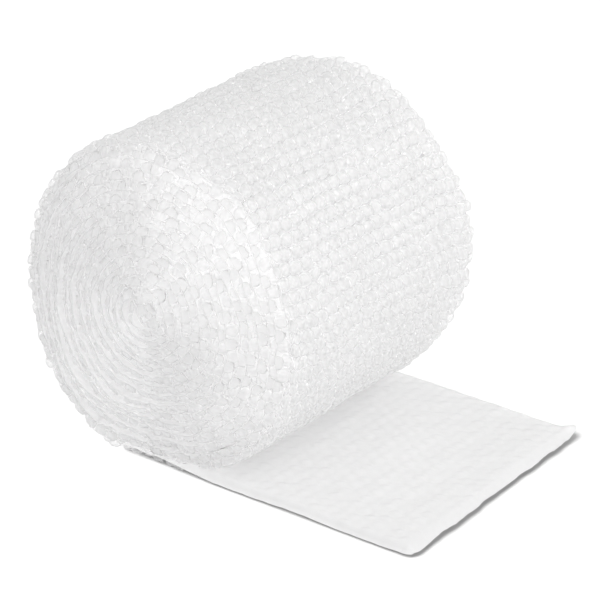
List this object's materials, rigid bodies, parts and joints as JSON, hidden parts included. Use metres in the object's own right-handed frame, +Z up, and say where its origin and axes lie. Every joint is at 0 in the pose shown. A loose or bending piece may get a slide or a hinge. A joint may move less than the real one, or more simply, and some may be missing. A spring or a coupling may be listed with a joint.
{
  "type": "bubble wrap roll",
  "caption": "Coreless roll of clear bubble cushioning web lying on its side, with its free end unrolled flat.",
  "frame": {"origin": "middle of the underside of the whole thing, on the surface that it rests on", "axes": "+Z up; Y along the roll's axis; +X the way the free end runs out from under the roll"},
  "size_m": [0.4634, 0.3219, 0.3175],
  "materials": {
    "bubble_film": "clear polyethylene film in many layers, milky white in the mass, soft gloss"
  },
  "bodies": {
    "root": {"bubble_wrap": "bubble_film"}
  },
  "joints": []
}
